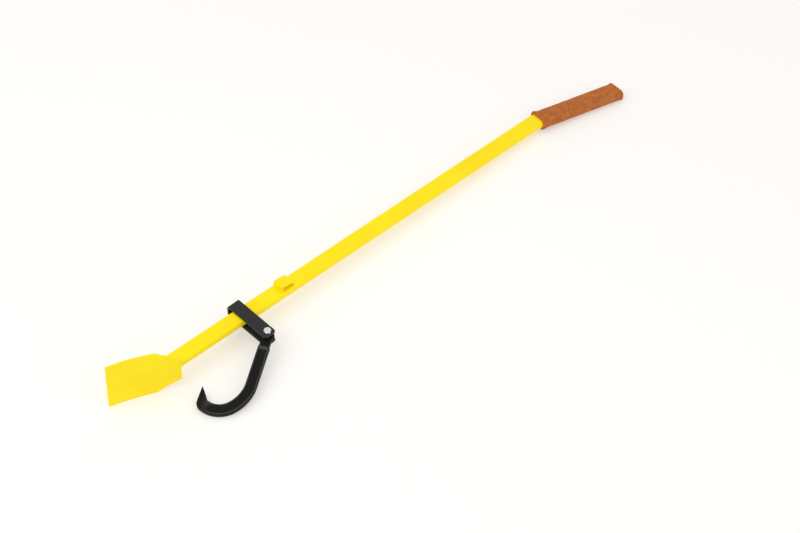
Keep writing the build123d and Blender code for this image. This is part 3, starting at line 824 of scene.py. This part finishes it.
# Stations along the hook: the inner and outer point of each section, and its flute's depth.
stations = []
shank_steps = ((SHANK_START + 0.7, 0), (28, 0), (30, 0.1), (32, 0.6), (34, 1), (50, 1), (70, 1), (90, 1))
for x, flute in (*shank_steps, (SHANK_END, 1)):
    stations.append((Vector((x, HALF_SHANK)), Vector((x, -HALF_SHANK)), flute))
for i in range(1, BACK_STATIONS + 1):
    angle = -90 + BACK_TURN * i / BACK_STATIONS
    inner = on_arc(back_centre, BACK_RADIUS - HALF_SHANK, angle)
    outer = on_arc(back_centre, BACK_RADIUS + HALF_SHANK, angle)
    stations.append((inner, outer, 1))
belly_start = BACK_TURN - 90
for i in range(1, BELLY_STATIONS + 1):
    angle = belly_start + (BEAK_TURN - belly_start) * i / BELLY_STATIONS
    fade = min(1.0, max(0.0, (FLUTE_END - angle) / FLUTE_FADE))
    inner = on_arc(belly_centre, BELLY_RADIUS - HALF_SHANK, angle)
    outer = on_arc(belly_centre, BELLY_RADIUS + HALF_SHANK, angle)
    stations.append((inner, outer, fade))
inner_root = on_arc(belly_centre, BELLY_RADIUS - HALF_SHANK, BEAK_TURN)
outer_root = on_arc(belly_centre, BELLY_RADIUS + HALF_SHANK, BEAK_TURN)
beak_hollow = Vector((1.2, 1.8))
for i in range(1, BEAK_STATIONS + 1):
    share = i / BEAK_STATIONS
    if share < BEAK_CORNER_SHARE:
        part = share / BEAK_CORNER_SHARE
        outer = outer_root * (1 - part) ** 2 + BEAK_CORNER * 2 * part * (1 - part) + BEAK_BACK * part ** 2
    else:
        outer = BEAK_BACK.lerp(BEAK_POINT, (share - BEAK_CORNER_SHARE) / (1 - BEAK_CORNER_SHARE))
    inner = inner_root.lerp(BEAK_POINT, share) - beak_hollow * (1 - share) * share
    stations.append((inner, outer, 0))


def half_thickness(place):
    """The forging's half thickness, less where the beak is drawn out."""
    drawn = min(1.0, max(0.0, (BEAK_DRAWN_FROM_X - place.x) / (BEAK_DRAWN_FROM_X - BEAK_POINT.x)))
    in_beak = min(1.0, max(0.0, (place.y - BEAK_DRAWN_FROM_Y) / BEAK_DRAWN_REACH))
    return HALF_THICKNESS + (POINT_HALF_THICKNESS - HALF_THICKNESS) * drawn * in_beak


# Across a section, from an edge: how far in, how far below the face, and its part of flute.
SECTION = (
    (0.0, 2.2, 0), (0.3, 1.2, 0), (0.9, 0.45, 0), (1.7, 0.05, 0),
    (2.6, 0.1, 0), (3.5, 0.0, 0.6), (4.7, 0.0, 0.95), (7.2, 0.0, 1.0),
)


def hook_section(inner, outer, flute):
    """A closed ring round the forging between its inner and outer point."""
    width = (outer - inner).length
    across = (outer - inner).normalized()
    fit = min(1.0, width / 2 / 8.2)
    top = []
    for step, below, part in SECTION + tuple(reversed(SECTION)):
        top.append((step * fit, below * fit, part))
    ring_top, count = [], len(SECTION)
    for index, (step, below, part) in enumerate(top):
        place = inner + across * step if index < count else outer - across * step
        half = half_thickness(place)
        ring_top.append((place, half - min(below, half * 0.6) - part * flute * FLUTE_DEPTH))
    ring = [Vector((p.x, -p.y, h)) * MM for p, h in ring_top]
    return ring + [Vector((p.x, -p.y, -h)) * MM for p, h in reversed(ring_top)]


def neck_section(x, half_width, half_height):
    """A plain section of the neck with as many points as the forging's."""
    ring_top = []
    count = 2 * len(SECTION)
    for i in range(count):
        side = 1 - 2 * i / (count - 1)
        soft = 0.9 * max(0.0, abs(side) - 0.86) / 0.14
        ring_top.append((half_width * side, half_height - soft))
    ring = [Vector((x, -v, h)) * MM for v, h in ring_top]
    return ring + [Vector((x, -v, -h)) * MM for v, h in reversed(ring_top)]


hook_rings = [
    neck_section(8.5, NECK_HALF_WIDTH - 0.6, EYE_HALF),
    neck_section(14, NECK_HALF_WIDTH, EYE_HALF),
    neck_section(22.6, NECK_HALF_WIDTH, EYE_HALF),
    neck_section(23.6, NECK_HALF_WIDTH + 0.5, EYE_HALF + 0.15),
]
hook_rings += [hook_section(*station) for station in stations[:-1]]
beak_end = Vector((BEAK_POINT.x, -BEAK_POINT.y, 0)) * MM
ring_middle = sum(hook_rings[-1], Vector()) / len(hook_rings[-1])
hook_rings.append([beak_end + (p - ring_middle) * 0.15 for p in hook_rings[-1]])
hook_mesh = loft(hook_rings)
eye_upper = [
    (EYE_HOLE, EYE_HALF - 0.4), (EYE_HOLE + 0.4, EYE_HALF), (EYE_RADIUS - 1.2, EYE_HALF),
    (EYE_RADIUS - 0.3, EYE_HALF - 0.4), (EYE_RADIUS, EYE_HALF - 1.2),
]
eye_profile = eye_upper + [(radius, -height) for radius, height in reversed(eye_upper)]
eye_rings = [turned_ring(radius * MM, height * MM) for radius, height in eye_profile]
join_into(hook_mesh, loft(eye_rings, loop=True))

# How far each corner stands out along the forging's edges, where the finish paints a highlight.
rim = hook_mesh.verts.layers.float.new("rim")
for vert in hook_mesh.verts:
    level = abs(vert.co.z) / MM
    thick = half_thickness(Vector((vert.co.x, -vert.co.y)) / MM)
    before_beak = min(1.0, max(0.0, (RIM_END_Y + vert.co.y / MM) / RIM_FADE))
    vert[rim] = min(1.0, max(0.0, (level - thick + RIM_HEIGHT) / RIM_HEIGHT)) * before_beak

# Forged steel under the same satin black: the coat follows a surface left slightly pitted
# and uneven by scale and the dies.
forged_black, tree, shader, place = finish_material("powder_coat_on_forging", IOR=1.5)
hammered = node(tree, "ShaderNodeTexNoise", Vector=place, Scale=per_metre(11), Detail=5.0, Roughness=0.62)
pits = node(tree, "ShaderNodeTexNoise", Vector=place, Scale=per_metre(2.0), Detail=4.0)
rim_highlight_mask = node(tree, "ShaderNodeAttribute", {"attribute_name": "rim"}).outputs["Fac"]
forged_dark = node(
    tree, "ShaderNodeValToRGB", stops=[(0.35, "#0B0A09"), (0.75, "#171615")],
    Fac=hammered.outputs["Fac"],
).outputs["Color"]
# The lighter grey is painted highlight: it lifts the forging's rims so that they read as lit edges.
forged_highlight_grey = node(
    tree, "ShaderNodeValToRGB", stops=[(0.35, "#232120"), (0.75, "#3A3836")],
    Fac=hammered.outputs["Fac"],
).outputs["Color"]
rim_highlight_share = node(tree, "ShaderNodeMath", {"operation": "POWER"}, i0=rim_highlight_mask, i1=2.0)
forged_tone = node(
    tree, "ShaderNodeMix", {"data_type": "RGBA"}, i0=rim_highlight_share.outputs[0], i6=forged_dark, i7=forged_highlight_grey
).outputs[2]
forged_rough = node(tree, "ShaderNodeMapRange", i0=pits.outputs["Fac"], i1=0.3, i2=0.7, i3=0.38, i4=0.6)
both = node(
    tree, "ShaderNodeMix", {"data_type": "FLOAT"},
    i0=0.35, i2=hammered.outputs["Fac"], i3=pits.outputs["Fac"],
)
forged_bump = node(tree, "ShaderNodeBump", Height=both.outputs[0], Strength=0.35, Distance=0.7 * MM)
rim_gloss = node(tree, "ShaderNodeMapRange", i0=rim_highlight_share.outputs[0], i1=0.0, i2=1.0, i3=0.13, i4=0.6)
tree.links.new(rim_gloss.outputs[0], shader.inputs["Specular IOR Level"])
tree.links.new(forged_tone, shader.inputs["Base Color"])
tree.links.new(forged_rough.outputs[0], shader.inputs["Roughness"])
tree.links.new(forged_bump.outputs["Normal"], shader.inputs["Normal"])
turning_hook_forging = make_piece("turning_hook_forging", hook_mesh, hook_frame, forged_black, 40)
belongs(turning_hook_forging, "hook", "black_enamel", "turning_hook")

# ---------------------------------------------------------------------------------------
# The floor, lights and camera: a pale studio table under large soft lights.
floor_mesh = bmesh.new()
bmesh.ops.create_grid(floor_mesh, x_segments=1, y_segments=1, size=12.0)
floor_material, tree, shader, place = finish_material(
    "studio_paper", Roughness=0.9, Specular_IOR_Level=0.0, Emission_Strength=0.36
)
shader.inputs["Base Color"].default_value = colour("#D3D1CE")
shader.inputs["Emission Color"].default_value = colour("#FFFDFB")
floor = make_piece("studio_floor", floor_mesh, Matrix.Identity(4), floor_material)

CAMERA_DISTANCE = 4.158
CAMERA_AZIMUTH = math.radians(-44.36)
CAMERA_ELEVATION = math.radians(46.51)
AIM = bar_frame @ Vector((0, 0, 0))
aim = Vector((AIM.x, AIM.y, 0)) + Vector((0.4690, -0.0849, 0))
back = Vector((
    math.sin(CAMERA_AZIMUTH) * math.cos(CAMERA_ELEVATION),
    -math.cos(CAMERA_AZIMUTH) * math.cos(CAMERA_ELEVATION),
    math.sin(CAMERA_ELEVATION),
))
camera_data = bpy.data.cameras.new("camera")
camera_data.sensor_width = 36.0
camera_data.lens = 96.6
camera_data.clip_end = 50.0
camera = bpy.data.objects.new("camera", camera_data)
bpy.context.scene.collection.objects.link(camera)
camera.location = aim + back * CAMERA_DISTANCE
camera.rotation_mode = "QUATERNION"
camera.rotation_quaternion = (-back).to_track_quat("-Z", "Y")
bpy.context.scene.camera = camera


def soft_light(name, azimuth, elevation, distance, size, power, tint="#FFFFFF"):
    """A large square light that looks at the middle of the lever."""
    data = bpy.data.lights.new(name, "AREA")
    data.size = size
    data.energy = power
    data.color = colour(tint)[:3]
    light = bpy.data.objects.new(name, data)
    bpy.context.scene.collection.objects.link(light)
    a, e = math.radians(azimuth), math.radians(elevation)
    out = Vector((math.sin(a) * math.cos(e), -math.cos(a) * math.cos(e), math.sin(e)))
    light.location = out * distance
    light.rotation_mode = "QUATERNION"
    light.rotation_quaternion = (-out).to_track_quat("-Z", "Y")


soft_light("key", -100, 60, 3.2, 2.6, 26)
soft_light("fill", 0, 42, 3.5, 3.0, 13)
world = bpy.data.worlds.new("studio")
bpy.context.scene.world = world
world.use_nodes = True
world.node_tree.nodes["Background"].inputs["Color"].default_value = (1, 1, 1, 1)
world.node_tree.nodes["Background"].inputs["Strength"].default_value = 0.78
bpy.context.scene.view_settings.view_transform = "Standard"
